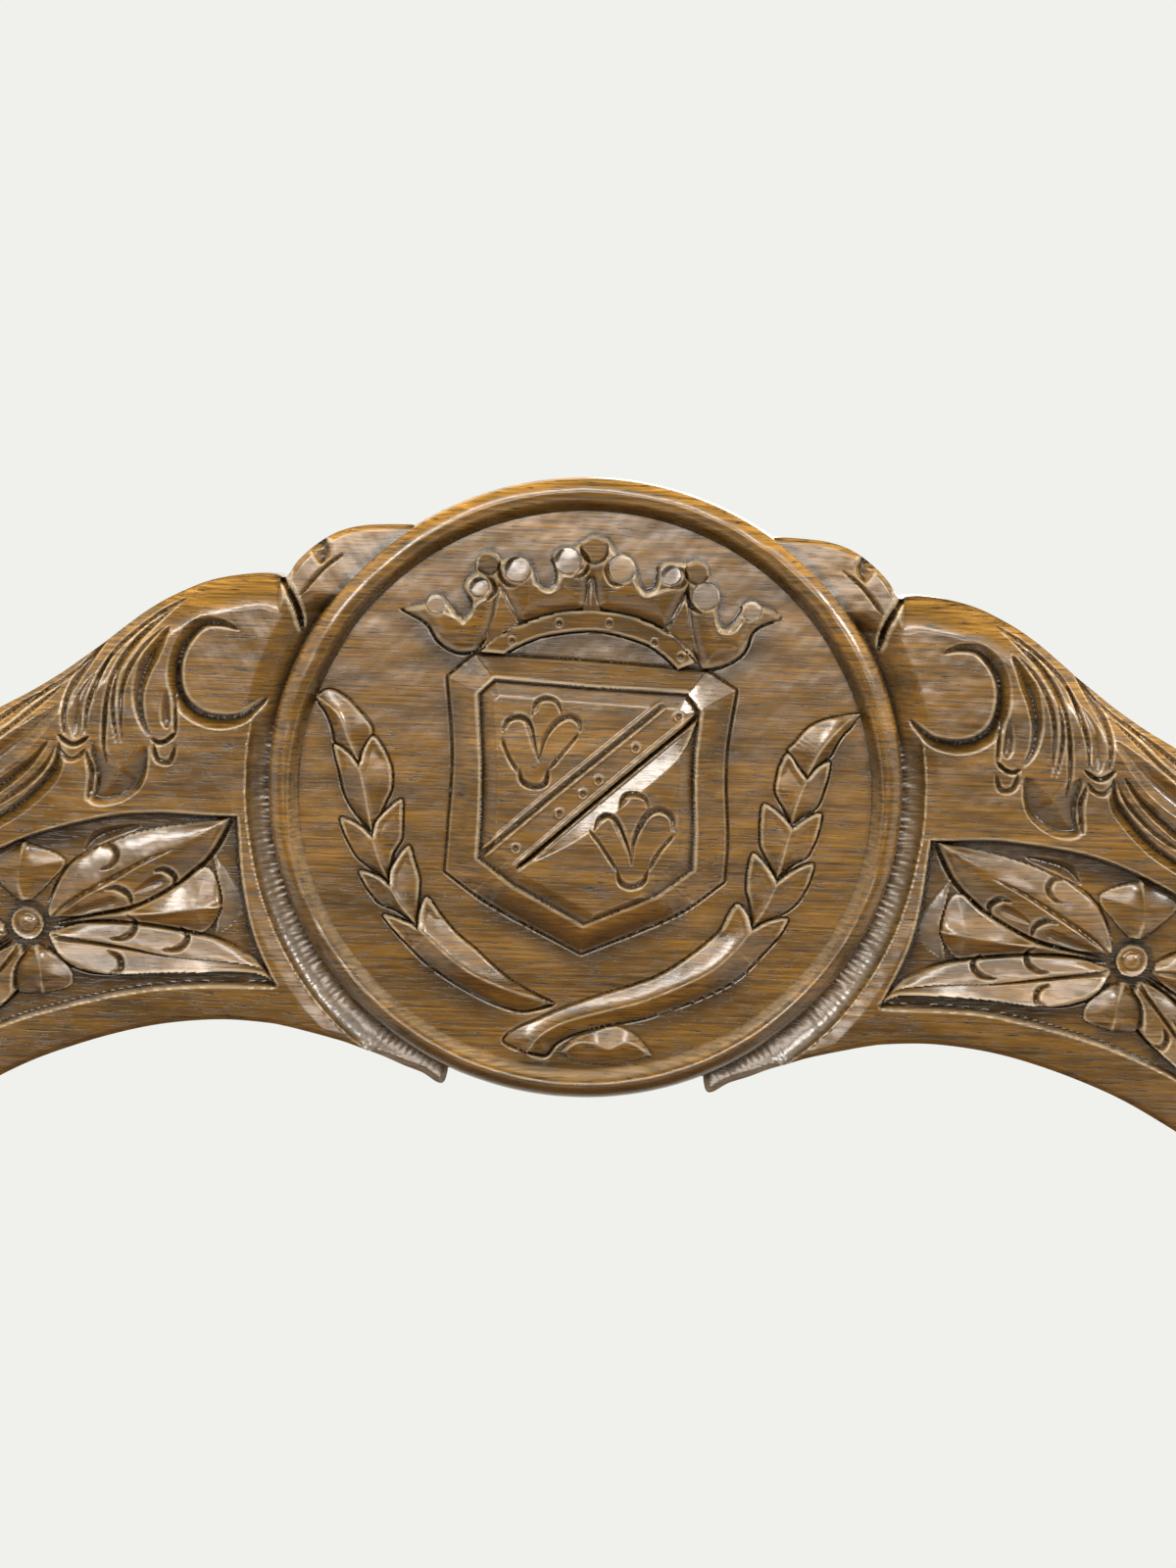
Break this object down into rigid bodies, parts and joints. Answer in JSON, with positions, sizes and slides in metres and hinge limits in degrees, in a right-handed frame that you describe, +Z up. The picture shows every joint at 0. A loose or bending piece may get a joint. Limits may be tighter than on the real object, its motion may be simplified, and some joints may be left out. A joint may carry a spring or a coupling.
{
  "type": "folding armchair",
  "caption": "Folding X-frame wooden armchair with a slung leather seat, rolled arms, foot runners and a lift-off carved crest rail across the back.",
  "frame": {"origin": "on the floor, under the middle of the chair's box", "axes": "+Z up, -Y the way the chair faces, +X to the right of someone who looks at its front"},
  "size_m": [0.63, 0.5799, 0.9655],
  "materials": {
    "walnut": "stained and waxed, worn at the edges",
    "leather": "dark brown saddle leather",
    "brass": "aged, satin",
    "iron": "blackened, forged"
  },
  "bodies": {
    "pivot": {"pivot_rod": "iron", "pivot_nuts": "iron", "pivot_washers": "iron", "turned_stretcher": "walnut", "front_boss": "walnut", "rear_boss": "walnut", "seat_leather": "leather"},
    "left_arm_frame": {"left_arm": "walnut", "left_arm_front_leg": "walnut", "left_arm_rear_leg": "walnut", "left_seat_rail": "walnut", "right_foot_runner": "walnut", "left_arm_pegs": "walnut", "right_foot_pegs": "walnut", "left_seat_nails": "brass"},
    "right_arm_frame": {"right_arm": "walnut", "right_arm_front_leg": "walnut", "right_arm_rear_leg": "walnut", "right_seat_rail": "walnut", "left_foot_runner": "walnut", "right_arm_pegs": "walnut", "left_foot_pegs": "walnut", "right_seat_nails": "brass"},
    "crest": {"crest_rail": "walnut", "crest_roundel": "walnut", "crest_screws": "iron"}
  },
  "joints": [
    {"name": "fold_left_arm", "type": "hinge", "parent": "pivot", "child": "left_arm_frame", "pos_m": [0, 0, 0.33], "axis": [0, 1, 0], "range_deg": [0, 30], "deforming": ["seat_leather"]},
    {"name": "fold_right_arm", "type": "hinge", "parent": "pivot", "child": "right_arm_frame", "pos_m": [0, 0, 0.33], "axis": [0, 1, 0], "range_deg": [-30, 0]},
    {"name": "crest_lift", "type": "slide", "parent": "pivot", "child": "crest", "axis": [0, 0, 1], "range_m": [0, 0.21]}
  ],
  "couplings": [
    {"joint": "fold_right_arm", "follows": "fold_left_arm", "ratio": -1},
    {"joint": "crest_lift", "follows": "fold_left_arm", "m_per_rad": 0.4}
  ]
}
